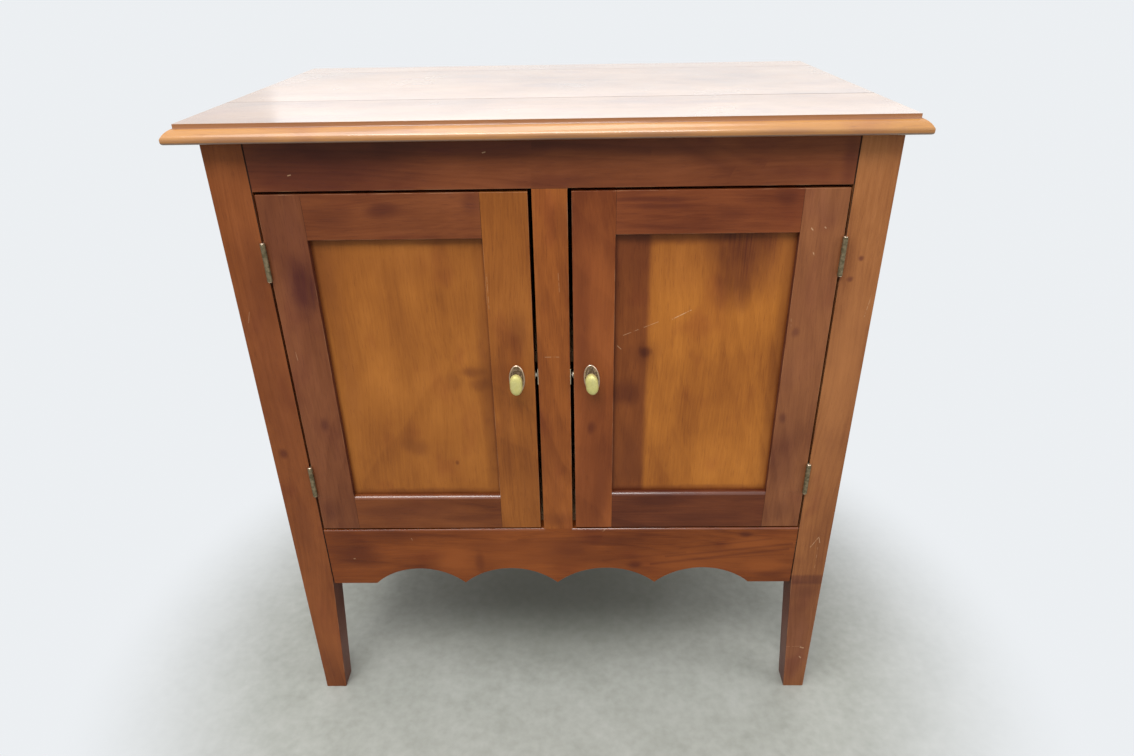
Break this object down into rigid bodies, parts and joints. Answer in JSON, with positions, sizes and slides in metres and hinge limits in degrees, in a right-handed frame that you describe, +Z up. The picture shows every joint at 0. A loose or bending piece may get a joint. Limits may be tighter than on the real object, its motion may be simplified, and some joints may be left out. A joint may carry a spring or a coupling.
{
  "type": "dry sink cabinet",
  "caption": "Small wooden cupboard on tapered legs with a moulded top, panelled doors at a centre stile, a scalloped apron and a shelf.",
  "frame": {"origin": "on the floor under the middle of the case, halfway between the top's front and back edges", "axes": "+X to the right seen from the front, +Y from the doors to the back, +Z up"},
  "size_m": [0.811, 0.51, 0.876],
  "materials": {
    "leg_wood": "orange-brown stained cherry under gloss lacquer",
    "frame_wood": "red-brown stained cherry under gloss lacquer",
    "panel_wood": "amber stained cherry with dark mineral blotches, satin lacquer",
    "top_wood": "stained cherry boards under high gloss lacquer",
    "inner_wood": "plain unstained secondary wood",
    "hinge_brass": "aged brass with greenish tarnish",
    "plate_brass": "antique brass with a bright worn rim",
    "knob_brass": "polished pale brass",
    "steel": "bright steel"
  },
  "bodies": {
    "cabinet": {"top_board_front": "top_wood", "top_board_middle": "top_wood", "top_board_back": "top_wood", "leg_front_left": "leg_wood", "leg_front_right": "leg_wood", "leg_back_left": "leg_wood", "leg_back_right": "leg_wood", "front_rail": "frame_wood", "scalloped_apron": "frame_wood", "centre_stile": "frame_wood", "side_panel_left": "frame_wood", "side_panel_right": "frame_wood", "back_top_rail": "inner_wood", "back_bottom_rail": "inner_wood", "back_board_left": "inner_wood", "back_board_centre": "inner_wood", "back_board_right": "inner_wood", "bottom_board": "inner_wood", "bottom_cleats": "inner_wood", "shelf": "inner_wood", "shelf_cleats": "inner_wood", "top_cleats": "inner_wood", "cleat_screws": "steel", "frame_leaf_left_upper": "hinge_brass", "frame_leaf_left_lower": "hinge_brass", "frame_leaf_right_upper": "hinge_brass", "frame_leaf_right_lower": "hinge_brass", "hinge_pins": "hinge_brass", "frame_hinge_screws": "hinge_brass", "strike_screws": "hinge_brass", "strike_plate_left": "hinge_brass", "strike_plate_right": "hinge_brass"},
    "door_left": {"door_leaf_left_upper": "hinge_brass", "door_leaf_left_lower": "hinge_brass", "door_left_hinge_stile": "frame_wood", "door_left_lock_stile": "frame_wood", "door_left_top_rail": "frame_wood", "door_left_bottom_rail": "frame_wood", "door_left_panel": "panel_wood", "door_left_hinge_screws": "hinge_brass", "knob_plate_left": "plate_brass", "knob_left": "knob_brass", "knob_screw_left": "steel", "catch_barrel_left": "hinge_brass", "catch_spring_left": "steel"},
    "door_right": {"door_leaf_right_upper": "hinge_brass", "door_leaf_right_lower": "hinge_brass", "door_right_hinge_stile": "frame_wood", "door_right_lock_stile": "frame_wood", "door_right_top_rail": "frame_wood", "door_right_bottom_rail": "frame_wood", "door_right_panel": "panel_wood", "door_right_hinge_screws": "hinge_brass", "knob_plate_right": "plate_brass", "knob_right": "knob_brass", "knob_screw_right": "steel", "catch_barrel_right": "hinge_brass", "catch_spring_right": "steel"},
    "catch_ball_left": {"catch_ball_left": "steel"},
    "catch_ball_right": {"catch_ball_right": "steel"}
  },
  "joints": [
    {"name": "door_left_swing", "type": "hinge", "parent": "cabinet", "child": "door_left", "pos_m": [-0.3335, -0.2337, 0.559], "axis": [0, 0, -1], "range_deg": [0, 170]},
    {"name": "door_right_swing", "type": "hinge", "parent": "cabinet", "child": "door_right", "pos_m": [0.3335, -0.2337, 0.559], "axis": [0, 0, 1], "range_deg": [0, 170]},
    {"name": "catch_left_press", "type": "slide", "parent": "door_left", "child": "catch_ball_left", "axis": [-1, 0, 0], "range_m": [0, 0.002], "stiffness_N_per_m": 600, "springref_m": -0.003, "deforming": ["catch_spring_left"]},
    {"name": "catch_right_press", "type": "slide", "parent": "door_right", "child": "catch_ball_right", "axis": [1, 0, 0], "range_m": [0, 0.002], "stiffness_N_per_m": 600, "springref_m": -0.003, "deforming": ["catch_spring_right"]}
  ]
}
